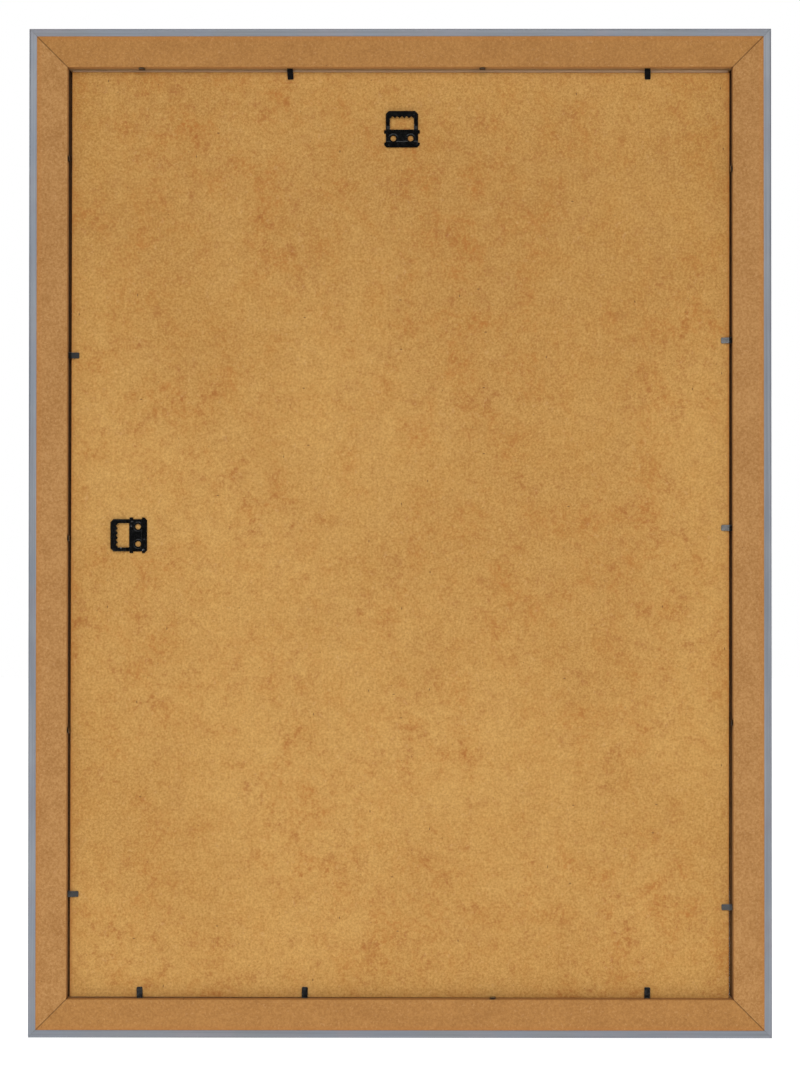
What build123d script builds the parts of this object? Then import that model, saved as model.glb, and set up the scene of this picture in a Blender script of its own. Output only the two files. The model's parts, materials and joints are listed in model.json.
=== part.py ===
from build123d import *
import os
from math import asin, cos, degrees, radians, sin, sqrt, tan

# A wall-hung picture frame: four mitred fibreboard rails wrapped in decor foil, a pane of glass, an insert
# sheet and a back panel in the rebate, bendable steel tabs that hold the panel in, and two toothed hangers.
# Sizes are millimetres. +Z is up, the picture side faces -Y and the side against the wall faces +Y.
# Left and right are as seen from the front, so left is -X. The model is built about the middle of the frame,
# with y = 0 in the plane of the wall, and is moved at the end so that the nail seat is the origin.

# Picture and the rebate that takes it
PICTURE_W = 500.0
PICTURE_H = 700.0
REBATE_PLAY_X = 3.0
REBATE_PLAY_Z = 4.0

# Rails
RAIL_W = 29.0
FRAME_DEPTH = 20.0
LIP_T = 5.0
LIP_REACH = 6.0
SIGHT_BEVEL = 3.0
EDGE_R = 1.4
SIGHT_R = 1.0
ARRIS_R = 0.8
MITRE_GAP = 0.1

# Decor foil on the rails
FOIL_T = 0.25
FOIL_BACK_BAND = 5.8

# What lies in the rebate; the panel's skew in its play is in degrees
GLASS_T = 2.0
INSERT_T = 0.3
INSERT_PLAY_X = 5.5
INSERT_PLAY_Z = 0.8
PANEL_T = 3.0
PANEL_PLAY_X = 4.3
PANEL_PLAY_Z = 3.0
PANEL_SKEW = -0.08

# V-nails across the mitres
V_NAIL_LEG = 4.2
V_NAIL_T = 0.4
V_NAIL_H = 10.0
V_NAIL_SUNK = 0.2
V_NAIL_INSET = 19.5

# Bendable tabs
TAB_W = 4.5
TAB_T = 0.5
TAB_REACH = 8.3
TAB_TIP_R = 0.9
TAB_STANDOFF = 1.3
TAB_HEIGHT = 2.1
TAB_TIP_GAP = 0.2
TAB_KNUCKLE_R = 0.4
TAB_KNUCKLE_CLEARANCE = 0.05
TAB_ROOT_DEPTH = 7.0
TAB_ROOT_POINT = 2.0

# Toothed hangers
HANGER_T = 0.9
HANGER_LIFT = 1.6
HANGER_RAMP = 2.4
HANGER_RAMP_RISE = 0.35
HANGER_BEND_R = 0.5
HANGER_INSET = 65.3
PORTRAIT_OFFSET_X = -1.4
LANDSCAPE_OFFSET_Z = -2.1
BAIL_W = 24.5
BAIL_BAR = 4.1
BAIL_CHAMFER = 2.3
BAIL_BEVEL = 0.6
WINDOW_W = 18.3
WINDOW_H = 10.0
NOTCHES = 5
NOTCH_PITCH = 3.55
TOOTH_H = 1.6
BASE_H = 13.6
BASE_CHAMFER = 1.9
EAR_OUT = 1.15
EAR_H = 2.8
UPPER_EAR_DROP = 0.3
LOWER_EAR_RISE = 0.9
BAND_H = 4.4
BAND_LIFT = 0.3
BAND_RAMP = 0.7
HOLE_D = 4.3
HOLE_SPACING = 13.1
HOLE_RISE = 6.8
COLLAR_D = 7.6
COLLAR_TOP_D = 6.2
COLLAR_H = 0.35
PRONG_W = 1.5
PRONG_DEPTH = 2.5
PRONG_POINT = 1.0
PRONG_CLEARANCE = 0.1

# Where each tab sits along its rail, as a share of half the rebate's length, going clockwise as seen from the
# front, whether it is pressed down on the panel or stands up, and how far it is askew in degrees.
DOWN = "down"
UP = "up"
TABS = {
    "top": [(-0.746, DOWN, 1), (-0.248, UP, 0), (0.332, DOWN, 4), (0.778, UP, -2)],
    "right": [(-0.804, UP, 0), (-0.381, DOWN, 1), (0.013, UP, -1), (0.425, UP, 2), (0.777, DOWN, -1)],
    "bottom": [(-0.782, DOWN, 2), (-0.286, DOWN, -1), (0.279, UP, 1), (0.743, DOWN, -2)],
    "left": [(-0.804, DOWN, 2), (-0.408, UP, 0), (0.010, DOWN, -2), (0.414, DOWN, 1), (0.782, UP, 1)],
}

# Sizes that follow from the ones above
REBATE_W = PICTURE_W + REBATE_PLAY_X
REBATE_H = PICTURE_H + REBATE_PLAY_Z
OUTER_W = REBATE_W + 2 * RAIL_W
OUTER_H = REBATE_H + 2 * RAIL_W
SIGHT_W = RAIL_W + LIP_REACH
GLASS_Y = LIP_T - FRAME_DEPTH
INSERT_Y = GLASS_Y + GLASS_T
PANEL_Y = INSERT_Y + INSERT_T
PANEL_BACK_Y = PANEL_Y + PANEL_T
RAIL_BACK_Y = -FOIL_T
LEAF_LENGTH = TAB_REACH - TAB_STANDOFF
LEAF_SLOPE = degrees(asin((TAB_HEIGHT - TAB_TIP_GAP - TAB_T / 2) / LEAF_LENGTH))
LEAF_TURN = 90 + LEAF_SLOPE
BAIL_Y = HANGER_LIFT + HANGER_T
NAIL_SEAT = (
    PORTRAIT_OFFSET_X,
    PANEL_BACK_Y + HANGER_LIFT + HANGER_T / 2,
    OUTER_H / 2 - HANGER_INSET,
)

# Each rail is the top rail turned about Y: its turn, half its length, the distance from the middle of the
# frame to its outer edge, and half the length of its rebate.
RAILS = {
    "top": (0, OUTER_W / 2, OUTER_H / 2, REBATE_W / 2),
    "right": (90, OUTER_H / 2, OUTER_W / 2, REBATE_H / 2),
    "bottom": (180, OUTER_W / 2, OUTER_H / 2, REBATE_W / 2),
    "left": (270, OUTER_H / 2, OUTER_W / 2, REBATE_H / 2),
}


def rounded_face(corners):
    """Face inside a closed outline of (a, b, radius) corners."""
    points = [(a, b) for a, b, _ in corners]
    radii = [radius for _, _, radius in corners]
    return make_face(FilletPolyline(*points, radius=radii, close=True))


def pointed_face(half_width, shoulder, tip):
    """Outline of a driven point: straight from x = 0 to its shoulder, then tapering to its tip."""
    sides = [(0, -half_width), (0, half_width), (shoulder, half_width), (tip, 0), (shoulder, -half_width)]
    return make_face(Polyline(*sides, close=True))


def core_outline():
    """Section of a bare rail as (inward from the outer edge, back from the front, radius)."""
    bevel_shift = FOIL_T * tan(radians(45 / 2))
    return [
        (FOIL_T, FOIL_T, EDGE_R - FOIL_T),
        (SIGHT_W - SIGHT_BEVEL - bevel_shift, FOIL_T, SIGHT_R - FOIL_T),
        (SIGHT_W - FOIL_T, SIGHT_BEVEL + bevel_shift, 0),
        (SIGHT_W - FOIL_T, LIP_T, 0),
        (RAIL_W, LIP_T, 0),
        (RAIL_W, FRAME_DEPTH - FOIL_T, ARRIS_R),
        (FOIL_T, FRAME_DEPTH - FOIL_T, EDGE_R - FOIL_T),
    ]


def foil_outline():
    """Section of the foil, from the sight edge round the front and the outer side to its band on the back."""
    core = core_outline()
    outside = [
        (FOIL_BACK_BAND, FRAME_DEPTH, 0),
        (0, FRAME_DEPTH, EDGE_R),
        (0, 0, EDGE_R),
        (SIGHT_W - SIGHT_BEVEL, 0, SIGHT_R),
        (SIGHT_W, SIGHT_BEVEL, 0),
        (SIGHT_W, LIP_T, 0),
    ]
    inside = [core[3], core[2], core[1], core[0], core[6], (FOIL_BACK_BAND, FRAME_DEPTH - FOIL_T, 0)]
    return outside + inside


def mitred_bar(outline, half_length, edge):
    """The top rail's section drawn out along X and cut at 45 degrees at both ends."""
    corners = [(depth - FRAME_DEPTH, edge - inward, radius) for inward, depth, radius in outline]
    bar = extrude(Plane.YZ * rounded_face(corners), amount=half_length, both=True)
    outer_half = half_length - MITRE_GAP / sqrt(2)
    drop = 2 * SIGHT_W
    inner_half = outer_half - drop
    ends = [(-outer_half, edge), (outer_half, edge), (inner_half, edge - drop), (-inner_half, edge - drop)]
    mitres = make_face(Polyline(*ends, close=True))
    return bar & extrude(Plane.XZ * mitres, amount=FRAME_DEPTH, dir=(0, -1, 0))


def tab_leaf():
    """A tab's leaf, lying along +X from its bend line on the Z axis, with a round bead along the bend."""
    blank = Pos(LEAF_LENGTH / 2, 0, 0) * Box(LEAF_LENGTH, TAB_T, TAB_W)
    tip_edges = blank.edges().filter_by(Axis.Y).group_by(Axis.X)[-1]
    return fillet(tip_edges, TAB_TIP_R) + Cylinder(TAB_KNUCKLE_R, TAB_W)


def tab_root():
    """A tab's root, from its hollowed end at the bend line on the Z axis back to the point in the rail."""
    tip = -TAB_STANDOFF - TAB_ROOT_DEPTH
    shoulder = tip + TAB_ROOT_POINT
    blade = extrude(Plane.XZ * pointed_face(TAB_W / 2, shoulder, tip), amount=TAB_T / 2, both=True)
    return blade - Cylinder(TAB_KNUCKLE_R + TAB_KNUCKLE_CLEARANCE, 2 * TAB_W)


def tab_places():
    """Place of each tab's bend line: its name, state and location, with Z along the bend and X inwards."""
    places = []
    for side, tabs in TABS.items():
        turn, _, edge, half_rebate = RAILS[side]
        for number, (share, state, skew) in enumerate(tabs, start=1):
            bend_line = Pos(share * half_rebate, PANEL_BACK_Y + TAB_HEIGHT, edge - RAIL_W - TAB_STANDOFF)
            location = Rot(0, turn, 0) * bend_line * Rot(0, 90 + skew, 0)
            places.append((f"tab_{side}_{number}", state, location))
    return places


def v_nail():
    """A V-nail with its apex on the Y axis, its head at y = 0 and its legs towards -X and -Z."""
    leg = Pos((V_NAIL_T - V_NAIL_LEG) / 2, -V_NAIL_H / 2, 0) * Box(V_NAIL_LEG, V_NAIL_H, V_NAIL_T)
    return leg + Rot(0, -90, 0) * leg


def v_nails():
    """One V-nail across each mitre, opening towards the picture."""
    nails = []
    for side_x, side_z, turn in ((1, 1, 0), (1, -1, 90), (-1, -1, 180), (-1, 1, 270)):
        apex_x = side_x * (OUTER_W / 2 - V_NAIL_INSET)
        apex_z = side_z * (OUTER_H / 2 - V_NAIL_INSET)
        nails.append(Pos(apex_x, RAIL_BACK_Y - V_NAIL_SUNK, apex_z) * Rot(0, turn, 0) * v_nail())
    return nails


def resting_sheet(width, height, thickness, front_y, skew=0.0):
    """A flat sheet that stands on the bottom of the rebate, on one corner where it is askew."""
    reach = width * abs(sin(radians(skew))) + height * cos(radians(skew))
    middle_z = (reach - REBATE_H) / 2
    return Pos(0, front_y + thickness / 2, middle_z) * Rot(0, skew, 0) * Box(width, thickness, height)


def hanger_plan():
    """A hanger's outline as seen from behind, with the middle notch's valley at the origin."""
    base_top = -WINDOW_H
    base_bottom = base_top - BASE_H
    side = BAIL_W / 2
    ear = side + EAR_OUT
    upper = base_top - UPPER_EAR_DROP
    lower = base_bottom + LOWER_EAR_RISE + EAR_H
    right = [
        (side - BAIL_CHAMFER, BAIL_BAR),
        (side, BAIL_BAR - BAIL_CHAMFER),
        (side, upper),
        (ear, upper),
        (ear, upper - EAR_H),
        (side, upper - EAR_H),
        (side, lower),
        (ear, lower),
        (ear, base_bottom + BASE_CHAMFER),
        (ear - BASE_CHAMFER, base_bottom),
    ]
    left = [(-x, z) for x, z in reversed(right)]
    return make_face(Polyline(*right, *left, close=True))


def hanger_window():
    """The opening under the toothed bar, with a row of notches along its top."""
    half = WINDOW_W / 2
    first = -(NOTCHES - 1) / 2
    teeth = []
    for number in range(NOTCHES):
        valley = (first + number) * NOTCH_PITCH
        teeth += [(valley - NOTCH_PITCH / 2, -TOOTH_H), (valley, 0)]
    teeth.append((-first * NOTCH_PITCH + NOTCH_PITCH / 2, -TOOTH_H))
    left = [(-half, -WINDOW_H), (-half, -TOOTH_H)]
    right = [(half, -TOOTH_H), (half, -WINDOW_H)]
    return make_face(Polyline(*left, *teeth, *right, close=True))


def hanger_bend():
    """Side view of the bent sheet: a low band, the base on the panel, a ramp, and the bail off the panel."""
    middle = HANGER_T / 2
    base_bottom = -WINDOW_H - BASE_H
    band_top = base_bottom + BAND_H
    ramp_foot = -WINDOW_H + HANGER_RAMP_RISE
    spine = FilletPolyline(
        (BAND_LIFT + middle, base_bottom),
        (BAND_LIFT + middle, band_top),
        (middle, band_top + BAND_RAMP),
        (middle, ramp_foot),
        (HANGER_LIFT + middle, ramp_foot + HANGER_RAMP),
        (HANGER_LIFT + middle, BAIL_BAR),
        radius=HANGER_BEND_R + middle,
    )
    return trace(spine, line_width=HANGER_T)


def prong_places():
    """Where the four prongs go through the panel, as (x, z) of each prong's middle."""
    out = BAIL_W / 2 + EAR_OUT - HANGER_T / 2
    upper = -WINDOW_H - UPPER_EAR_DROP - EAR_H / 2
    lower = -WINDOW_H - BASE_H + LOWER_EAR_RISE + EAR_H - PRONG_W / 2
    return [(side * out, z) for side in (-1, 1) for z in (upper, lower)]


def prong(clearance=0.0):
    """A pointed prong going down from the band into the panel, or with a clearance the slot that takes it."""
    half = PRONG_W / 2 + clearance
    tip = -BAND_LIFT - PRONG_DEPTH - clearance
    blade = pointed_face(half, tip + PRONG_POINT, tip)
    return Pos(0, BAND_LIFT, 0) * extrude(Plane.YZ * blade, amount=HANGER_T / 2 + clearance, both=True)


def hanger():
    """A stamped hanger, standing on y = 0 with its bail up +Z and its middle notch's valley on the Y axis."""
    sheet = extrude(Plane.YZ * hanger_bend(), amount=BAIL_W, both=True)
    sheet &= extrude(Plane.XZ * hanger_plan(), amount=2 * BAIL_Y, dir=(0, 1, 0))
    _, *rim = sheet.edges().group_by(Axis.Y)[-1].sort_by(Axis.Z)
    sheet = chamfer(rim, BAIL_BEVEL)
    sheet -= extrude(Plane.XZ * hanger_window(), amount=2 * BAIL_Y, dir=(0, 1, 0))
    collar = Cone(COLLAR_D / 2, COLLAR_TOP_D / 2, COLLAR_H, align=(Align.CENTER, Align.CENTER, Align.MIN))
    drill = Cylinder(HOLE_D / 2, 2 * (HANGER_T + COLLAR_H))
    for side in (-1, 1):
        hole = Pos(side * HOLE_SPACING / 2, HANGER_T, HOLE_RISE - WINDOW_H - BASE_H) * Rot(-90, 0, 0)
        sheet = sheet + hole * collar - hole * drill
    for x, z in prong_places():
        sheet += Pos(x, 0, z) * prong()
    return sheet


HANGER_LOCATIONS = {
    "hanger_portrait": Pos(PORTRAIT_OFFSET_X, PANEL_BACK_Y, OUTER_H / 2 - HANGER_INSET),
    "hanger_landscape": Pos(OUTER_W / 2 - HANGER_INSET, PANEL_BACK_Y, LANDSCAPE_OFFSET_Z) * Rot(0, 90, 0),
}


def back_panel():
    """The back panel, with a slot for each hanger prong."""
    panel = resting_sheet(REBATE_W - PANEL_PLAY_X, REBATE_H - PANEL_PLAY_Z, PANEL_T, PANEL_Y, PANEL_SKEW)
    for location in HANGER_LOCATIONS.values():
        for x, z in prong_places():
            panel -= location * Pos(x, 0, z) * prong(PRONG_CLEARANCE)
    return panel


def build():
    """Every piece of the frame by name, about the middle of the frame."""
    pieces = {}
    roots = [location * tab_root() for _, _, location in tab_places()]
    nails = v_nails()
    for side, (turn, half_length, edge, _) in RAILS.items():
        core = Rot(0, turn, 0) * mitred_bar(core_outline(), half_length, edge)
        for driven in roots + nails:
            core -= driven
        pieces[f"rail_{side}"] = core
        pieces[f"foil_{side}"] = Rot(0, turn, 0) * mitred_bar(foil_outline(), half_length, edge)
    pieces["corner_v_nails"] = Compound(nails)
    pieces["glazing"] = resting_sheet(PICTURE_W, PICTURE_H, GLASS_T, GLASS_Y)
    insert = (REBATE_W - INSERT_PLAY_X, REBATE_H - INSERT_PLAY_Z)
    pieces["insert_sheet"] = resting_sheet(*insert, INSERT_T, INSERT_Y)
    pieces["back_panel"] = back_panel()
    for name, location in HANGER_LOCATIONS.items():
        pieces[name] = location * hanger()
    pieces["tab_roots"] = Compound(roots)
    for name, state, location in tab_places():
        lean = 90 if state == UP else -LEAF_SLOPE
        pieces[name] = location * Rot(0, 0, lean) * tab_leaf()
    return pieces


TO_ORIGIN = Pos(*NAIL_SEAT).inverse()

os.makedirs("parts", exist_ok=True)
for name, piece in build().items():
    export_step(TO_ORIGIN * piece, f"parts/{name}.step")
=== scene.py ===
import json
from math import cos, pi, radians, sin

import bmesh
import bpy
from bpy.props import FloatProperty, FloatVectorProperty, IntProperty, PointerProperty
from mathutils import Matrix, Vector


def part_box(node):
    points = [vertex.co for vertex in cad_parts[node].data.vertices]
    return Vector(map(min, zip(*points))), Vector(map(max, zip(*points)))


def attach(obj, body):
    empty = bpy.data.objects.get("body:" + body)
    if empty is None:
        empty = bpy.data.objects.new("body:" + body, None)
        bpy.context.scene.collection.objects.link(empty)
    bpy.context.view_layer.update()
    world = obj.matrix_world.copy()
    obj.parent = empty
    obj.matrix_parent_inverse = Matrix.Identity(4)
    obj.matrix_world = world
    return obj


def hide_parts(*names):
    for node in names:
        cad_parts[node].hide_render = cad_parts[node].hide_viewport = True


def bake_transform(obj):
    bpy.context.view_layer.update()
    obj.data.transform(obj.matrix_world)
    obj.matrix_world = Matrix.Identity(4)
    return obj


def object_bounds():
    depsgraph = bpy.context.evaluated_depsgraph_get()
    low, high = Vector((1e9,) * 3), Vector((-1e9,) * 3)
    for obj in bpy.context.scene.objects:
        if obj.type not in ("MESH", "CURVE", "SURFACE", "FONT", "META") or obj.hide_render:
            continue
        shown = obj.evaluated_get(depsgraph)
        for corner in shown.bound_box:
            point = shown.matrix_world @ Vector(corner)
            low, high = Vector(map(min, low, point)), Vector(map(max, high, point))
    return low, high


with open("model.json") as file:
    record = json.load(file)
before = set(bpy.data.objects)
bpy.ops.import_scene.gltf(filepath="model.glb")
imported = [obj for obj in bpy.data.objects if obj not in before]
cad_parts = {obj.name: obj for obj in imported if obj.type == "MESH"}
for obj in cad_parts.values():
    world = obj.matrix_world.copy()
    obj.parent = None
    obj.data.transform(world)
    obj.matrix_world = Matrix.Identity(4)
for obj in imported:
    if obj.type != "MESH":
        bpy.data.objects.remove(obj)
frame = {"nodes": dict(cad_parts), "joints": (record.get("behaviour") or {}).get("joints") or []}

bl_info = {
    "name": "Picture frame seen from behind",
    "version": (1, 0, 0),
    "blender": (4, 5, 0),
    "location": "3D View > Sidebar > Frame",
    "description": "Dresses a wall-hung picture frame with board, foil, steel, glass and paper",
    "category": "Object",
}

# The frame hangs upright: +Z is up, the back faces +Y and the picture side faces -Y.
CAD_LOW, CAD_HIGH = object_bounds()
MIDDLE = (CAD_LOW + CAD_HIGH) / 2
NODES = frame["nodes"]
BACKWARD = Vector((0, 1, 0))
MM = 0.001

# The rails by the axis that they run along
RAILS_ALONG = {"x": ("top", "bottom"), "z": ("left", "right")}

# Modelling: what counts as sharp, flat, touching or facing a direction, and how finely edges are rounded
SHARP_ANGLE = radians(35)
FLAT_ANGLE = radians(0.2)
MERGE_DISTANCE = 0.001 * MM
TOUCH_DISTANCE = 0.01 * MM
FACING = 0.9
EDGE_SEGMENTS = 2
TIP_SEGMENTS = 5
ROOT_POINT_SHARE = 0.12
FLAT_FACE_WEIGHT = 100

# Stage: the floor's size, its cells and its place in front of the wall, and how far the camera sees
FLOOR_SIZE = 9
FLOOR_CELLS = 8
FLOOR_FORWARD = 3.4
CAMERA_REACH = 60

# Each light's name, place from the middle of the frame, width and height, and the setting for its power
LIGHTS = (
    ("glint_light", (0.78, 2.4, -0.1), (0.28, 1.8), "glint"),
    ("side_light", (-1.0, 2.2, 0.1), (0.6, 1.8), "side"),
    ("top_light", (0, 2.5, 1.5), (2.2, 1.0), "top"),
    ("over_light", (0, -0.5, 2.0), (1.6, 1.6), "over"),
    ("front_light_right", (1.4, -2.4, 0.5), (1.0, 1.6), "front"),
    ("front_light_left", (-1.4, -2.4, 0.5), (1.0, 1.6), "front"),
)


def srgb(red, green, blue):
    """Linear colour of a screen colour given as 0 to 255."""
    shares = [channel / 255 for channel in (red, green, blue)]
    return [s / 12.92 if s <= 0.04045 else ((s + 0.055) / 1.055) ** 2.4 for s in shares]


WHITE = srgb(255, 255, 255)


def colour(name, description, value):
    """A colour that a user can change."""
    return FloatVectorProperty(
        name=name, description=description, subtype="COLOR", min=0, max=1, default=value
    )


def length(name, description, value):
    """A length in metres that a user can change."""
    return FloatProperty(
        name=name, description=description, unit="LENGTH", precision=5, min=0, default=value
    )


def offset(name, description, value):
    """A length in metres, to either side, that a user can change."""
    return FloatProperty(name=name, description=description, unit="LENGTH", default=value)


def angle(name, description, degrees):
    """An angle that a user can change."""
    return FloatProperty(name=name, description=description, subtype="ANGLE", default=radians(degrees))


def share(name, description, value):
    """A share from 0 to 1 that a user can change."""
    return FloatProperty(
        name=name, description=description, subtype="FACTOR", min=0, max=1, default=value
    )


def power(name, description, watts):
    """A light's power that a user can change."""
    return FloatProperty(name=name, description=description, unit="POWER", default=watts)


class BoardLook(bpy.types.PropertyGroup):
    """Looks of the bare fibreboard rails and of the back panel"""

    rail: colour("Rail", "Bare fibreboard of the rails", srgb(183, 136, 82))
    level_rail: colour("Level rails", "Back of the top and bottom rails", srgb(178, 128, 70))
    rail_dark: colour("Rail, dark", "Darker grain of the rails", srgb(152, 104, 54))
    rail_edge: colour("Rail by the foil", "Glue-stained board next to the foil", srgb(176, 116, 60))
    # The rebate colour and the three shares below paint light and shade into the rails' rebate: painted
    # shade on the upright rails' inner walls, painted light in the pale fibre colour on the level rails'
    # walls, and both weaker towards the bottom
    rebate: colour("Rebate", "Dark sealed board inside the upright rails' rebate", srgb(52, 26, 12))
    rebate_shade_strength: share("Rebate, sealed", "Strength of the seal in the upright rails' rebate", 0.85)
    rebate_light_strength: share("Rebate, frayed", "Strength of the pale fibres in the level rails' rebate", 0.9)
    rebate_low: share("Rebate, low down", "What is left of both at the bottom of the frame", 0.65)
    strand: colour("Strands", "Pale loose fibres in the boards", srgb(214, 172, 122))
    panel: colour("Panel", "Hard-pressed board of the back panel", srgb(204, 158, 87))
    panel_dark: colour("Panel, dark", "Fine dark grain of the panel", srgb(168, 119, 53))
    blotch: colour("Blotches", "Cloudy resin blotches of the panel", srgb(172, 106, 42))
    core: colour("Blotch core", "Darkest resin in the panel's blotches", srgb(158, 96, 38))
    speck: colour("Specks", "Dark bark specks in both boards", srgb(84, 50, 22))


class MetalLook(bpy.types.PropertyGroup):
    """Looks of the foil, the black fittings and the nails"""

    foil: colour("Foil", "Silver-grey decor foil", srgb(129, 133, 139))
    # A lighter copy of the foil for the uprights: painted light
    upright_foil_lit: colour("Upright foil", "Foil of the left and right rails", srgb(143, 147, 154))
    foil_cool: colour("Foil, cool", "Bluish clouds in the foil", srgb(128, 135, 147))
    foil_warm: colour("Foil, warm", "Reddish clouds in the foil", srgb(136, 135, 143))
    foil_streak: colour("Foil streaks", "Tint of the dimmer streaks along the foil", srgb(232, 232, 232))
    enamel: colour("Black finish", "Black finish of tabs and hangers", srgb(3, 3, 3))
    enamel_grey: colour("Black finish, dusty", "Greyer patches of the black finish", srgb(10, 9, 10))
    bare: colour("Bare steel", "Steel where the finish has worn off", srgb(178, 178, 180))
    nail: colour("Nail", "Dusty steel of the corner nails", srgb(120, 96, 70))
    hanger_shine: share("Hanger shine", "Strength of the hangers' reflections", 0.3)
    hanger_rough: share("Hanger roughness", "How blurred the hangers' reflections are", 0.15)
    tab_shine: share("Tab shine", "Strength of the tabs' reflections", 0.75)
    tab_rough: share("Tab roughness", "How blurred the tabs' reflections are", 0.16)


class SheetLook(bpy.types.PropertyGroup):
    """Colours of the glass and of the blank insert"""

    glass: colour("Glass", "Tint of the pane", srgb(254, 255, 254))
    paper: colour("Paper", "Picture side of the blank insert sheet", srgb(222, 218, 210))
    paper_fibre: colour("Paper fibre", "Fibres in the insert sheet", srgb(206, 199, 186))
    # A warm tan behind the sheet: painted bounce light from the brown board around it
    paper_back_bounce: colour("Paper back", "Unbleached back of the insert sheet", srgb(240, 212, 178))


class TabShape(bpy.types.PropertyGroup):
    """Sizes of the bendable tabs"""

    width: length("Width", "Width of the strip", 4.5 * MM)
    thickness: length("Thickness", "Thickness of the strip", 0.5 * MM)
    leaf: length("Leaf", "Length from the bend line to the tip", 7.0 * MM)
    root: length("Root", "Length from the bend line to the point in the rail", 8.3 * MM)
    point: length("Point", "Length of the tapered point of the root", 2.0 * MM)
    tip_round: length("Tip rounding", "Radius of the corners of the tip", 0.9 * MM)
    edge_round: length("Edge rounding", "Width of the softened edges", 0.14 * MM)
    bend_half: length("Half bend", "Half the length of strip that bends", 0.62 * MM)
    press: angle("Press", "Slope of a pressed leaf", 14.2)
    press_half: length("Half press", "Half the length of strip over which a pressed leaf curves", 1.4 * MM)
    bend_steps: IntProperty(name="Bend steps", description="Sections along the bend", min=2, default=8)


class PlateShape(bpy.types.PropertyGroup):
    """Softened edges of the hangers, the panel and the glass"""

    hanger_edge: length("Hanger edge", "Width of the softened edges of a hanger", 0.13 * MM)
    panel_edge: length("Panel edge", "Width of the worn edge of the back panel", 0.35 * MM)
    glass_edge: length("Glass edge", "Width of the ground edges of the glass", 0.25 * MM)
    glass_air: length("Air behind the glass", "Gap between the glass and the insert sheet", 0.05 * MM)


class StageSetup(bpy.types.PropertyGroup):
    """Camera, floor and lights"""

    distance: length("Camera distance", "From the camera to the back of the frame", 2.3988)
    lens: FloatProperty(name="Lens", description="Focal length in millimetres", min=1, default=107.26)
    camera_x: offset("Camera across", "Camera off the middle, in X", -0.0113)
    camera_z: offset("Camera up", "Camera off the middle, in Z", -0.0283)
    tilt: angle("Tilt", "Camera pointed up", 0.657)
    roll: angle("Roll", "Camera rolled", -0.021)
    turn: angle("Turn", "Camera turned aside", 0.268)
    glint: power("Glint light", "Power of the narrow strip light", 6)
    side: power("Side light", "Power of the light opposite", 4.5)
    top: power("Top light", "Power of the light above", 33)
    front: power("Front lights", "Power of each light in front", 14)
    over: power("Overhead light", "Power of the light overhead", 14)
    ambient: share("Ambient", "Brightness of the room", 0.365)
    mirrored: share("Mirrored room", "Brightness of the room in reflections", 0.05)
    floor: colour("Floor", "Pale floor", srgb(150, 150, 148))
    floor_dapple: colour("Floor, dappled", "Faint clouds in the floor", srgb(120, 120, 120))
    floor_glow: share("Floor glow", "Own brightness of the floor", 0.97)


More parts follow.
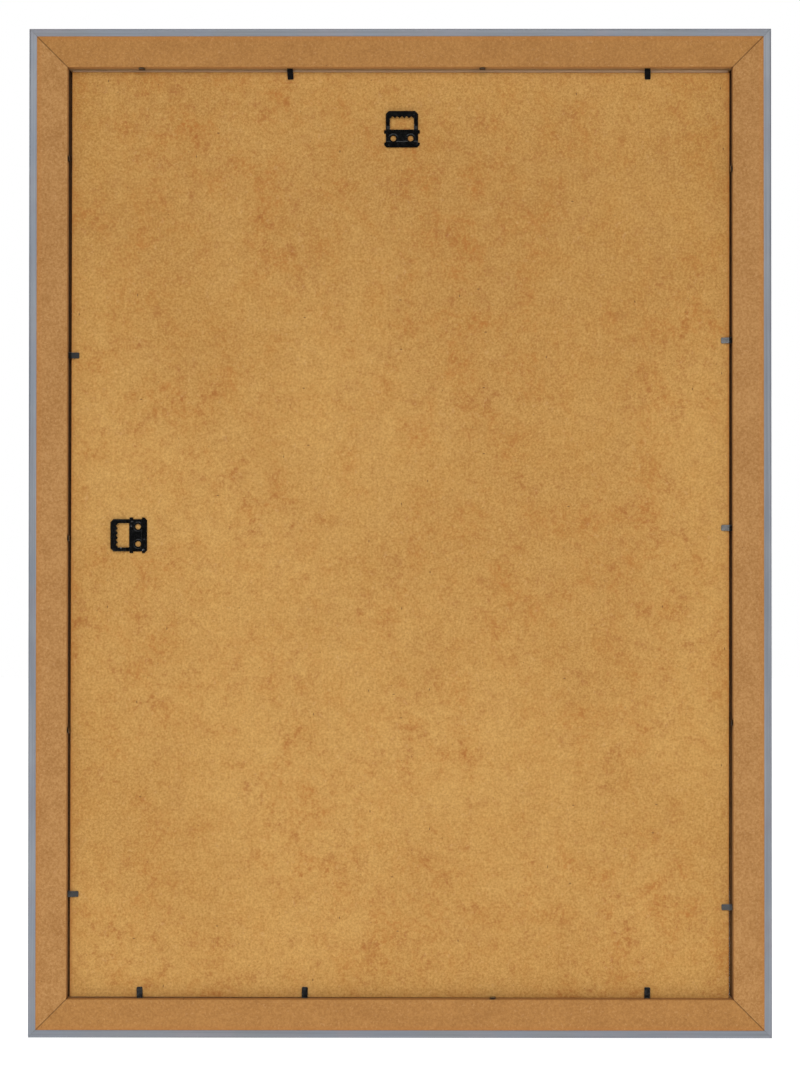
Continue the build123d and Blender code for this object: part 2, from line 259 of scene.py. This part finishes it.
class Finish:
    """A material under construction, with short ways to add and join its nodes."""

    def __init__(self, name):
        self.material = bpy.data.materials.new(name)
        self.material.use_nodes = True
        self.tree = self.material.node_tree
        self.surface = self.tree.nodes["Principled BSDF"]
        self.place = self.add("ShaderNodeTexCoord").outputs["Object"]

    def add(self, kind, inputs=None, **settings):
        """A node with its settings and inputs, each a value or another node's socket."""
        node = self.tree.nodes.new(kind)
        for name, value in settings.items():
            setattr(node, name, value)
        for name, value in (inputs or {}).items():
            self.join(node.inputs[name], value)
        return node

    def join(self, socket, value):
        """Sets a socket to a value, or links it to another node's socket."""
        if isinstance(value, bpy.types.NodeSocket):
            self.tree.links.new(value, socket)
        elif getattr(socket, "type", "") == "RGBA" and len(value) == 3:
            socket.default_value = (*value, 1)
        else:
            socket.default_value = value

    def math(self, operation, first, second=0.0, third=0.0):
        """What an operation makes of one, two or three numbers."""
        return self.add("ShaderNodeMath", {0: first, 1: second, 2: third}, operation=operation).outputs[0]

    def plus(self, first, second):
        """One number added to another."""
        return self.math("ADD", first, second)

    def times(self, first, second):
        """One number times another."""
        return self.math("MULTIPLY", first, second)

    def larger(self, first, second):
        """The larger of two numbers."""
        return self.math("MAXIMUM", first, second)

    def vector(self, operation, first, second=(0, 0, 0)):
        """What an operation makes of one or two vectors."""
        return self.add("ShaderNodeVectorMath", {0: first, 1: second}, operation=operation).outputs[0]

    def coordinate(self, axis):
        """How far a point lies along an axis."""
        return self.add("ShaderNodeSeparateXYZ", {0: self.place}).outputs[axis]

    def stretched(self, scale, turn=(0, 0, 0), offset=(0, 0, 0)):
        """The surface's own coordinates, scaled, turned and shifted."""
        inputs = {"Vector": self.place, "Scale": scale, "Rotation": turn, "Location": offset}
        return self.add("ShaderNodeMapping", inputs).outputs["Vector"]

    def noise(self, per_metre, detail=2.0, rough=0.5, warp=0.0, place=None):
        """Cloudy noise with so many clouds to the metre."""
        inputs = {"Vector": place or self.place, "Scale": per_metre, "Detail": detail}
        inputs.update({"Roughness": rough, "Distortion": warp})
        return self.add("ShaderNodeTexNoise", inputs).outputs["Fac"]

    def spread(self, value, low, high, to_low=0.0, to_high=1.0):
        """The value's range from low to high spread smoothly over another range."""
        inputs = {"Value": value, "From Min": low, "From Max": high}
        inputs.update({"To Min": to_low, "To Max": to_high})
        return self.add("ShaderNodeMapRange", inputs, interpolation_type="SMOOTHSTEP").outputs["Result"]

    def mix(self, factor, first, second, blend="MIX"):
        """Two colours mixed by a factor."""
        node = self.add("ShaderNodeMix", data_type="RGBA", blend_type=blend)
        for index, value in ((0, factor), (6, first), (7, second)):
            self.join(node.inputs[index], value)
        return node.outputs[2]

    def strands(self, per_metre, width, gaps):
        """Short curved fibres: the contour lines of a warped noise, broken up by a finer one."""
        field = self.noise(per_metre, detail=1.0, rough=0.4, warp=0.7)
        line = self.spread(self.math("ABSOLUTE", self.math("SUBTRACT", field, 0.5)), 0, width, 1, 0)
        breaks = self.spread(self.noise(1.7 * per_metre, detail=1.0), gaps, gaps + 0.08)
        return self.times(line, breaks)

    def specks(self, per_metre, radius, keep, scale=(1, 1, 1)):
        """Scattered specks, seen square from behind: some cells of a net, each with a dark spot."""
        inputs = {"Vector": self.stretched(scale, (pi / 2, 0, 0)), "Scale": per_metre}
        cells = self.add("ShaderNodeTexVoronoi", inputs, voronoi_dimensions="2D")
        spot = self.spread(cells.outputs["Distance"], 0.5 * radius * per_metre, radius * per_metre, 1, 0)
        chance = self.add("ShaderNodeSeparateColor", {0: cells.outputs["Color"]}).outputs[0]
        return self.times(spot, self.math("LESS_THAN", chance, keep))

    def edge_distances(self, low, high):
        """Distances from the nearest upright edge and the nearest level edge of a flat box."""
        centre = (low + high) / 2
        half = (high - low) / 2
        from_centre = self.vector("ABSOLUTE", self.vector("SUBTRACT", self.place, centre))
        axes = self.add("ShaderNodeSeparateXYZ", {0: self.vector("SUBTRACT", half, from_centre)}).outputs
        return axes["X"], axes["Z"]

    def bump(self, height, depth, strength=1.0):
        """Relief of a given depth from a height."""
        inputs = {"Height": height, "Distance": depth, "Strength": strength}
        self.join(self.surface.inputs["Normal"], self.add("ShaderNodeBump", inputs).outputs["Normal"])

    def set(self, **inputs):
        """Sets or links the shader's own sockets, named with _ for a space."""
        for name, value in inputs.items():
            self.join(self.surface.inputs[name.replace("_", " ")], value)
        return self.material


def rail_board(look, along):
    """Bare fibreboard: grain, flecks, specks, a glue stain by the foil, dark mitres, and painted shade and
    light in the rebate.
    """
    finish = Finish("rail_board_" + along)
    is_level = along == "x"
    _, panel_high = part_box("back_panel")
    grain = finish.noise(620, detail=3.0, rough=0.6)
    dust = finish.noise(1900, detail=1.0)
    cloud = finish.noise(55, detail=3.0, rough=0.55)
    long_flecks = finish.strands(230, width=0.06, gaps=0.58)
    short_flecks = finish.strands(320, width=0.07, gaps=0.58)
    flecks = finish.larger(long_flecks, short_flecks)
    specks = finish.specks(140, radius=0.45 * MM, keep=0.03)
    upright, level = finish.edge_distances(CAD_LOW, CAD_HIGH)
    stain = finish.spread(finish.math("MINIMUM", upright, level), 5.5 * MM, 11 * MM, 0.5, 0)
    off_mitre = finish.math("ABSOLUTE", finish.math("SUBTRACT", upright, level))
    mitre = finish.spread(off_mitre, 0.15 * MM, 0.9 * MM, 0.65, 0)

    shade = finish.spread(grain, 0.26, 0.74, 0, 0.75)
    shade = finish.plus(shade, finish.spread(dust, 0.25, 0.75, -0.12, 0.2))
    shade = finish.plus(shade, finish.spread(cloud, 0.3, 0.7, -0.12, 0.14))
    tone = finish.mix(shade, look.level_rail if is_level else look.rail, look.rail_dark)
    tone = finish.mix(stain, tone, look.rail_edge)
    tone = finish.mix(finish.times(flecks, 0.2), tone, look.strand)
    tone = finish.mix(finish.times(specks, 0.6), tone, look.speck)
    tone = finish.mix(mitre, tone, look.speck)

    # Painted shade on the upright rails' rebate walls and painted light on the level rails' walls, weaker
    # lower down
    strength = look.rebate_light_strength if is_level else look.rebate_shade_strength
    painted_from, painted_to = panel_high.y - 2 * MM, panel_high.y + 1 * MM
    painted_recess = finish.spread(finish.coordinate("Y"), painted_from, painted_to, strength, 0)
    low_down = finish.spread(finish.coordinate("Z"), CAD_LOW.z, MIDDLE.z, look.rebate_low, 1)
    tone = finish.mix(finish.times(painted_recess, low_down), tone, look.strand if is_level else look.rebate)
    finish.bump(finish.plus(grain, finish.times(flecks, 0.5)), 0.1 * MM, 0.3)
    rough = finish.spread(grain, 0.2, 0.8, 0.8, 0.95)
    return finish.set(Base_Color=tone, Roughness=rough, Specular_IOR_Level=0.25)


def panel_board(look):
    """Hard-pressed board: fine grain, crumbly resin blotches, a few dark specks, and painted shade along its
    edges and down its sides.
    """
    finish = Finish("panel_board")
    low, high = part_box("back_panel")
    grain = finish.noise(560, detail=3.5, rough=0.62)
    dust = finish.noise(1700, detail=1.0)
    clouds = finish.noise(34, detail=8.0, rough=0.72, warp=0.25)
    patches = finish.noise(9, detail=3.0, rough=0.55)
    broad = finish.noise(5, detail=2.0)
    mottle_place = finish.stretched((1, 1, 1), turn=(0.5, 0.7, 0.4))
    mottle = finish.noise(140, detail=2.0, rough=0.55, warp=0.6, place=mottle_place)
    core_place = finish.stretched((1, 1, 1), turn=(0.3, 0.9, 0.2), offset=(0.4, 0, 0.9))
    cores = finish.noise(70, detail=7.0, rough=0.8, place=core_place)
    upright_dashes = finish.specks(45, radius=0.5 * MM, keep=0.13, scale=(1, 1, 0.4))
    level_dashes = finish.specks(38, radius=0.5 * MM, keep=0.13, scale=(0.4, 1, 1))
    dots = finish.specks(130, radius=0.55 * MM, keep=0.03)
    crumbs = finish.spread(finish.noise(300, detail=4.0, rough=0.75), 0.4, 0.64, 0.2, 1.65)
    flecks = finish.strands(190, width=0.04, gaps=0.58)
    upright, level = finish.edge_distances(low, high)
    # Painted shade beside the rails: wide and deep along the upright edges, faint along the level ones
    side_edge_shade = finish.spread(upright, 0, 3.5 * MM, 0.55, 0)
    level_edge_shade = finish.spread(level, 0, 1.2 * MM, 0.08, 0)

    shade = finish.spread(grain, 0.24, 0.76, 0, 0.8)
    shade = finish.plus(shade, finish.spread(dust, 0.25, 0.75, -0.12, 0.22))
    shade = finish.plus(shade, finish.spread(broad, 0.35, 0.65, -0.1, 0.14))
    shade = finish.plus(shade, finish.spread(mottle, 0.3, 0.7, -0.08, 0.08))
    middle = (low.z + high.z) / 2
    shade = finish.plus(shade, finish.spread(finish.coordinate("Z"), middle, high.z, 0, 0.15))
    tone = finish.mix(shade, look.panel, look.panel_dark)
    blotch = finish.times(finish.spread(clouds, 0.4, 0.74), finish.spread(patches, 0.35, 0.65, 0.35, 1))
    tone = finish.mix(finish.times(blotch, finish.times(crumbs, 0.6)), tone, look.blotch)
    core = finish.times(finish.spread(cores, 0.46, 0.7), finish.spread(patches, 0.38, 0.6, 0.5, 1))
    tone = finish.mix(finish.times(core, finish.times(crumbs, 0.62)), tone, look.core)
    tone = finish.mix(finish.times(flecks, 0.2), tone, look.strand)
    tone = finish.mix(finish.larger(side_edge_shade, level_edge_shade), tone, look.blotch)
    spots = finish.larger(finish.larger(upright_dashes, level_dashes), finish.times(dots, 0.6))
    tone = finish.mix(finish.times(spots, 0.75), tone, look.speck)
    # Painted shade on the panel's sides where they sink into the rebate, in the rebate's dark colour
    rim_shade = finish.spread(finish.coordinate("Y"), high.y - 2 * MM, high.y - 0.3 * MM, 0.9, 0)
    tone = finish.mix(rim_shade, tone, look.rebate)
    finish.bump(grain, 0.06 * MM, 0.3)
    rough = finish.spread(clouds, 0.3, 0.7, 0.62, 0.78)
    return finish.set(Base_Color=tone, Roughness=rough, Specular_IOR_Level=0.3)


def decor_foil(look, along):
    """Satin silver foil with fine streaks along its rail and faint clouds of colour."""
    finish = Finish("decor_foil_" + along)
    scale = {"x": (6, 700, 700), "z": (700, 700, 6)}[along]
    streaks = finish.noise(1, detail=2.0, rough=0.6, place=finish.stretched(scale))
    clouds = finish.noise(22, detail=2.0)
    tints = finish.noise(34, detail=2.0, place=finish.stretched((1, 1, 1), offset=(0.7, 0.3, 0.5)))
    # The upright rails take the lighter copy of the foil, painted light
    plain = look.foil if along == "x" else look.upright_foil_lit
    tone = finish.mix(finish.spread(clouds, 0.35, 0.65, 0, 0.6), plain, look.foil_cool)
    tone = finish.mix(finish.spread(tints, 0.45, 0.75, 0, 0.7), tone, look.foil_warm)
    dimming = finish.mix(finish.spread(streaks, 0.3, 0.7), look.foil_streak, WHITE)
    tone = finish.mix(1.0, tone, dimming, "MULTIPLY")
    finish.bump(streaks, 0.02 * MM, 0.3)
    rough = finish.spread(streaks, 0.3, 0.7, 0.36, 0.46)
    return finish.set(Base_Color=tone, Metallic=0.2, Roughness=rough)


def black_steel(look, name, shine, roughness):
    """Black finish on steel: faint dusty patches and grain, and bare metal worn through on the edges."""
    finish = Finish(name)
    patches = finish.noise(420, detail=3.0, rough=0.6)
    grain = finish.noise(2600, detail=2.0, rough=0.6)
    ridge = finish.add("ShaderNodeNewGeometry").outputs["Pointiness"]
    worn = finish.times(finish.spread(ridge, 0.56, 0.66), finish.spread(patches, 0.6, 0.7))
    tone = finish.mix(finish.spread(patches, 0.4, 0.75, 0, 0.6), look.enamel, look.enamel_grey)
    tone = finish.mix(worn, tone, look.bare)
    finish.bump(grain, 0.015 * MM, 0.4)
    rough = finish.spread(patches, 0.3, 0.7, 0.8 * roughness, 1.2 * roughness)
    bare = finish.times(worn, 0.8)
    return finish.set(Base_Color=tone, Metallic=bare, Roughness=rough, Specular_IOR_Level=shine)


def nail_steel(look, board_dust):
    """Ends of the corner nails, dulled by board dust."""
    finish = Finish("nail_steel")
    dust = finish.noise(1500, detail=2.0, rough=0.6)
    tone = finish.mix(finish.spread(dust, 0.35, 0.65), look.nail, board_dust)
    finish.bump(dust, 0.03 * MM, 0.5)
    rough = finish.spread(dust, 0.3, 0.7, 0.45, 0.7)
    return finish.set(Base_Color=tone, Metallic=0.35, Roughness=rough)


def clear_glass(look):
    """Clear picture glass: see-through, a mirror at a slant, with the faintest of smears."""
    finish = Finish("clear_glass")
    smears = finish.noise(9, detail=3.0, rough=0.6, warp=1.2)
    rough = finish.spread(smears, 0.45, 0.8, 0.01, 0.05)
    finish.set(Base_Color=look.glass, Metallic=1.0, Roughness=rough)
    slant = finish.add("ShaderNodeLayerWeight", {"Blend": 0.5}).outputs["Facing"]
    mirrored = finish.math("MULTIPLY_ADD", finish.math("POWER", slant, 5.0), 0.96, 0.04)
    clear = finish.add("ShaderNodeBsdfTransparent", {"Color": look.glass}).outputs[0]
    pane = finish.add("ShaderNodeMixShader", {0: mirrored, 1: clear, 2: finish.surface.outputs[0]})
    finish.join(finish.tree.nodes["Material Output"].inputs["Surface"], pane.outputs[0])
    return finish.material


def insert_paper(look):
    """Blank paper with fine fibres, white in front, with painted warm bounce light on its back."""
    finish = Finish("insert_paper")
    low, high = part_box("insert_sheet")
    fibres = finish.strands(260, width=0.06, gaps=0.5)
    tooth = finish.noise(900, detail=2.0, rough=0.6)
    tone = finish.mix(finish.times(fibres, 0.1), look.paper, look.paper_fibre)
    tone = finish.mix(finish.spread(tooth, 0.35, 0.7, 0, 0.08), tone, look.paper_fibre)
    # Painted warm bounce light on the back of the sheet
    tone = finish.mix(finish.spread(finish.coordinate("Y"), low.y, high.y), tone, look.paper_back_bounce)
    finish.bump(fibres, 0.02 * MM, 0.3)
    rough = finish.spread(tooth, 0.3, 0.7, 0.8, 0.92)
    return finish.set(Base_Color=tone, Roughness=rough, Specular_IOR_Level=0.2)


def pale_floor(setup):
    """Plain pale floor, bright enough to melt into the room."""
    finish = Finish("pale_floor")
    dapple = finish.noise(3, detail=2.0)
    tone = finish.mix(finish.spread(dapple, 0.3, 0.7, 0, 0.08), setup.floor, setup.floor_dapple)
    return finish.set(
        Base_Color=tone, Roughness=0.9, Emission_Color=WHITE, Emission_Strength=setup.floor_glow
    )


def dress(node, material):
    """Gives a CAD node a finish."""
    for slot in NODES[node].material_slots:
        slot.material = material


def make_active(piece):
    """Selects one object alone."""
    bpy.ops.object.select_all(action="DESELECT")
    bpy.context.view_layer.objects.active = piece
    piece.select_set(True)


def pick(piece, kind, wanted):
    """Selects the faces or edges that pass a test, in edit mode, and nothing else."""
    bpy.ops.mesh.select_mode(type=kind)
    bpy.ops.mesh.select_all(action="DESELECT")
    mesh = bmesh.from_edit_mesh(piece.data)
    for element in mesh.faces if kind == "FACE" else mesh.edges:
        element.select_set(wanted(element))
    bmesh.update_edit_mesh(piece.data)


def soften(piece, width):
    """Rounds a piece's sharp edges and shades it."""
    make_active(piece)
    bevel = piece.modifiers.new("soft_edges", "BEVEL")
    bevel.width = width
    bevel.segments = EDGE_SEGMENTS
    bevel.limit_method = "ANGLE"
    bevel.angle_limit = SHARP_ANGLE
    bpy.ops.object.modifier_apply(modifier=bevel.name)
    bpy.ops.object.shade_smooth_by_angle(angle=SHARP_ANGLE)
    flats = piece.modifiers.new("flat_faces", "WEIGHTED_NORMAL")
    flats.weight = FLAT_FACE_WEIGHT
    flats.keep_sharp = True
    bpy.ops.object.modifier_apply(modifier=flats.name)


def merged_copy(node, name):
    """A copy of a CAD node as one clean mesh, with its flat faces whole."""
    piece = bpy.data.objects.new(name, NODES[node].data.copy())
    bpy.context.scene.collection.objects.link(piece)
    make_active(piece)
    bpy.ops.mesh.customdata_custom_splitnormals_clear()
    bpy.ops.object.mode_set(mode="EDIT")
    bpy.ops.mesh.select_all(action="SELECT")
    bpy.ops.mesh.remove_doubles(threshold=MERGE_DISTANCE)
    bpy.ops.mesh.dissolve_limited(angle_limit=FLAT_ANGLE)
    bpy.ops.object.mode_set(mode="OBJECT")
    return piece


def finish_piece(piece, material):
    """Gives a new piece its finish."""
    piece.data.materials.clear()
    piece.data.materials.append(material)


class StripPen:
    """Draws a bent strip out of the end face of a block, as straight runs and bends in the XY plane."""

    def __init__(self, x, heading=0.0):
        self.spot = Vector((x, 0, 0))
        self.heading = heading

    def forward(self):
        """The direction in which the strip is drawn."""
        return Vector((cos(self.heading), sin(self.heading), 0))

    def straight(self, distance):
        """Draws the end face straight out."""
        step = distance * self.forward()
        bpy.ops.mesh.extrude_region_move(TRANSFORM_OT_translate={"value": step})
        self.spot += step

    def bend(self, turn, radius, steps):
        """Draws the end face round a bend, to the left for a positive turn."""
        side = 1 if turn > 0 else -1
        across = Vector((-sin(self.heading), cos(self.heading), 0))
        centre = self.spot + side * radius * across
        bpy.ops.mesh.spin(steps=steps, angle=abs(turn), center=centre, axis=(0, 0, -side))
        self.spot = centre + Matrix.Rotation(turn, 3, "Z") @ (self.spot - centre)
        self.heading += turn


def tab_strip(shape, raised):
    """One tab about its bend line on the Z axis: a pointed root along -X, and a leaf, pressed or raised."""
    shoulder = shape.point - shape.root
    bend_start = -(shape.bend_half if raised else shape.press_half)
    block = (bend_start - shoulder, shape.thickness, shape.width)
    bpy.ops.object.select_all(action="DESELECT")
    bpy.ops.mesh.primitive_cube_add(size=1, location=((bend_start + shoulder) / 2, 0, 0), scale=block)
    bpy.ops.object.transform_apply(location=True, rotation=True, scale=True)
    strip = bpy.context.object
    bpy.ops.object.mode_set(mode="EDIT")
    pick(strip, "FACE", lambda face: face.normal.x < -FACING)
    bpy.ops.mesh.extrude_region_move(TRANSFORM_OT_translate={"value": (-shape.point, 0, 0)})
    bpy.ops.transform.resize(value=(1, 1, ROOT_POINT_SHARE), center_override=(-shape.root, 0, 0))
    pick(strip, "FACE", lambda face: face.normal.x > FACING)
    pen = StripPen(bend_start)
    if raised:
        pen.bend(pi / 2, shape.bend_half, shape.bend_steps)
        pen.straight(shape.leaf - shape.bend_half)
    else:
        pen.bend(-shape.press, 2 * shape.press_half / shape.press, shape.bend_steps)
        pen.straight((shape.leaf - pen.spot.x) / cos(pen.heading))

    def is_tip_corner(edge):
        """Whether an edge runs through the strip's thickness at its tip."""
        short_of_tip = [(vertex.co - pen.spot).dot(pen.forward()) for vertex in edge.verts]
        at_tip = all(abs(distance) < TOUCH_DISTANCE for distance in short_of_tip)
        return at_tip and edge.calc_length() < 1.5 * shape.thickness

    pick(strip, "EDGE", is_tip_corner)
    bpy.ops.mesh.bevel(offset=shape.tip_round, segments=TIP_SEGMENTS, affect="EDGES")
    bpy.ops.mesh.select_all(action="SELECT")
    bpy.ops.mesh.normals_make_consistent(inside=False)
    bpy.ops.object.mode_set(mode="OBJECT")
    soften(strip, shape.edge_round)
    return strip


class FRAME_OT_rails(bpy.types.Operator):
    """Finishes the four mitred rails in bare fibreboard"""

    bl_idname = "picture_frame.rails"
    bl_label = "Rails"

    def execute(self, context):
        for along, sides in RAILS_ALONG.items():
            material = rail_board(context.scene.frame_board, along)
            for side in sides:
                dress("rail_" + side, material)
        return {"FINISHED"}


class FRAME_OT_foil(bpy.types.Operator):
    """Finishes the decor foil, with its streaks along each rail"""

    bl_idname = "picture_frame.foil"
    bl_label = "Decor foil"

    def execute(self, context):
        for along, sides in RAILS_ALONG.items():
            material = decor_foil(context.scene.frame_metal, along)
            for side in sides:
                dress("foil_" + side, material)
        return {"FINISHED"}


class FRAME_OT_nails(bpy.types.Operator):
    """Finishes the ends of the corner nails"""

    bl_idname = "picture_frame.nails"
    bl_label = "Corner nails"

    def execute(self, context):
        scene = context.scene
        dress("corner_v_nails", nail_steel(scene.frame_metal, scene.frame_board.rail_dark))
        return {"FINISHED"}


class FRAME_OT_sheets(bpy.types.Operator):
    """Makes the glass with its ground edges, just clear of the paper, and finishes the blank insert sheet"""

    bl_idname = "picture_frame.sheets"
    bl_label = "Glass and insert"

    def execute(self, context):
        shape = context.scene.frame_plate
        pane = merged_copy("glazing", "glass_pane")
        bpy.ops.object.mode_set(mode="EDIT")
        pick(pane, "FACE", lambda face: face.normal.dot(BACKWARD) > FACING)
        bpy.ops.transform.translate(value=-shape.glass_air * BACKWARD)
        bpy.ops.object.mode_set(mode="OBJECT")
        soften(pane, shape.glass_edge)
        finish_piece(pane, clear_glass(context.scene.frame_sheet))
        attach(pane, "frame")
        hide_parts("glazing")
        dress("insert_sheet", insert_paper(context.scene.frame_sheet))
        return {"FINISHED"}


class FRAME_OT_back_panel(bpy.types.Operator):
    """Makes the back panel with its worn edge"""

    bl_idname = "picture_frame.back_panel"
    bl_label = "Back panel"

    def execute(self, context):
        panel = merged_copy("back_panel", "backing_board")
        soften(panel, context.scene.frame_plate.panel_edge)
        finish_piece(panel, panel_board(context.scene.frame_board))
        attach(panel, "frame")
        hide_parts("back_panel")
        return {"FINISHED"}


class FRAME_OT_hangers(bpy.types.Operator):
    """Makes the two toothed hangers with their rounded edges"""

    bl_idname = "picture_frame.hangers"
    bl_label = "Toothed hangers"

    def execute(self, context):
        look = context.scene.frame_metal
        material = black_steel(look, "hanger_steel", look.hanger_shine, look.hanger_rough)
        for node in ("hanger_portrait", "hanger_landscape"):
            plate = merged_copy(node, node + "_plate")
            soften(plate, context.scene.frame_plate.hanger_edge)
            finish_piece(plate, material)
            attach(plate, "frame")
            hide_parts(node)
        return {"FINISHED"}


class FRAME_OT_tabs(bpy.types.Operator):
    """Makes the bendable tabs, each one strip that is driven into its rail and bends at its hinge"""

    bl_idname = "picture_frame.tabs"
    bl_label = "Bendable tabs"

    def execute(self, context):
        shape = context.scene.frame_tab
        look = context.scene.frame_metal
        material = black_steel(look, "tab_steel", look.tab_shine, look.tab_rough)
        patterns = {raised: tab_strip(shape, raised) for raised in (False, True)}
        for joint in frame["joints"]:
            raised = min(joint["range_deg"]) < 0
            hinge = Vector(joint["pos_m"])
            inward = Vector(joint["axis"]).cross(BACKWARD)
            if inward.dot(MIDDLE - hinge) < 0:
                inward.negate()
            turn = Matrix((inward, BACKWARD, inward.cross(BACKWARD))).transposed().to_4x4()
            strip = patterns[raised].copy()
            strip.data = patterns[raised].data.copy()
            strip.name = joint["child"] + "_strip"
            context.scene.collection.objects.link(strip)
            make_active(strip)
            strip.matrix_world = Matrix.Translation(hinge) @ turn
            bpy.ops.object.transform_apply(location=True, rotation=True, scale=True)
            finish_piece(strip, material)
            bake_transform(strip)
            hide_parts(joint["child"], "tab_roots")
        for pattern in patterns.values():
            bpy.data.objects.remove(pattern)
        return {"FINISHED"}


class FRAME_OT_stage(bpy.types.Operator):
    """Sets the floor, the camera, the room and the lights"""

    bl_idname = "picture_frame.stage"
    bl_label = "Stage"

    def execute(self, context):
        setup = context.scene.frame_stage
        self.lay_floor(context, setup)
        self.set_camera(context, setup)
        self.hang_lights(context, setup)
        self.light_room(context.scene, setup)
        context.scene.view_settings.view_transform = "Standard"
        return {"FINISHED"}

    def lay_floor(self, context, setup):
        """A wide floor under the frame, mostly on its picture side."""
        bpy.ops.object.select_all(action="DESELECT")
        bpy.ops.mesh.primitive_grid_add(
            x_subdivisions=FLOOR_CELLS, y_subdivisions=FLOOR_CELLS, size=FLOOR_SIZE
        )
        floor = context.object
        floor.name = "pale_floor"
        floor.location = (MIDDLE.x, MIDDLE.y - FLOOR_FORWARD, CAD_LOW.z)
        bpy.ops.object.transform_apply(location=True)
        floor.data.materials.append(pale_floor(setup))

    def set_camera(self, context, setup):
        """A camera behind the frame, nearly square to it."""
        place = (MIDDLE.x + setup.camera_x, CAD_HIGH.y + setup.distance, MIDDLE.z + setup.camera_z)
        turn = (pi / 2 + setup.tilt, setup.roll, pi + setup.turn)
        bpy.ops.object.camera_add(location=place, rotation=turn)
        camera = context.object
        camera.data.lens = setup.lens
        camera.data.clip_end = CAMERA_REACH
        context.scene.camera = camera

    def hang_lights(self, context, setup):
        """Soft lights all round, aimed at the middle of the frame."""
        for name, place, size, setting in LIGHTS:
            spot = MIDDLE + Vector(place)
            aim = (MIDDLE - spot).to_track_quat("-Z", "Y").to_euler()
            bpy.ops.object.light_add(type="AREA", location=spot, rotation=aim)
            light = context.object
            light.name = name
            light.data.shape = "RECTANGLE"
            light.data.size, light.data.size_y = size
            light.data.energy = getattr(setup, setting)
            light.visible_camera = False

    def light_room(self, scene, setup):
        """A white room that is dimmer where it lights the frame, and dimmer still in reflections."""
        world = bpy.data.worlds.new("white_room")
        world.use_nodes = True
        nodes, links = world.node_tree.nodes, world.node_tree.links
        room = nodes["Background"]
        room.inputs["Color"].default_value = (1, 1, 1, 1)
        path = nodes.new("ShaderNodeLightPath")
        seen = nodes.new("ShaderNodeMapRange")
        seen.inputs["To Min"].default_value = setup.ambient
        seen.inputs["To Max"].default_value = 1.0
        links.new(path.outputs["Is Camera Ray"], seen.inputs["Value"])
        dimmed = nodes.new("ShaderNodeMath")
        dimmed.operation = "MULTIPLY_ADD"
        dimmed.inputs[1].default_value = setup.mirrored - setup.ambient
        links.new(path.outputs["Is Glossy Ray"], dimmed.inputs[0])
        links.new(seen.outputs["Result"], dimmed.inputs[2])
        links.new(dimmed.outputs["Value"], room.inputs["Strength"])
        scene.world = world


PIECE_ORDER = ("rails", "foil", "nails", "sheets", "back_panel", "hangers", "tabs", "stage")
LOOKS = {
    "frame_board": BoardLook,
    "frame_metal": MetalLook,
    "frame_sheet": SheetLook,
    "frame_tab": TabShape,
    "frame_plate": PlateShape,
    "frame_stage": StageSetup,
}


class FRAME_PT_sidebar(bpy.types.Panel):
    """Lists the pieces of the frame and the sizes and colours behind them"""

    bl_idname = "FRAME_PT_sidebar"
    bl_label = "Picture frame"
    bl_space_type = "VIEW_3D"
    bl_region_type = "UI"
    bl_category = "Frame"

    def draw(self, context):
        for piece in PIECE_ORDER:
            self.layout.operator("picture_frame." + piece)
        for name, group in LOOKS.items():
            box = self.layout.box()
            box.label(text=group.__doc__)
            for value in group.__annotations__:
                box.prop(getattr(context.scene, name), value)


CLASSES = (
    *LOOKS.values(),
    FRAME_OT_rails,
    FRAME_OT_foil,
    FRAME_OT_nails,
    FRAME_OT_sheets,
    FRAME_OT_back_panel,
    FRAME_OT_hangers,
    FRAME_OT_tabs,
    FRAME_OT_stage,
    FRAME_PT_sidebar,
)


def register():
    for entry in CLASSES:
        bpy.utils.register_class(entry)
    for name, group in LOOKS.items():
        setattr(bpy.types.Scene, name, PointerProperty(type=group))


def unregister():
    for name in LOOKS:
        delattr(bpy.types.Scene, name)
    for entry in reversed(CLASSES):
        bpy.utils.unregister_class(entry)


def main():
    """Registers the add-on and makes every piece in order."""
    register()
    for piece in PIECE_ORDER:
        getattr(bpy.ops.picture_frame, piece)()


if __name__ == "__main__":
    main()
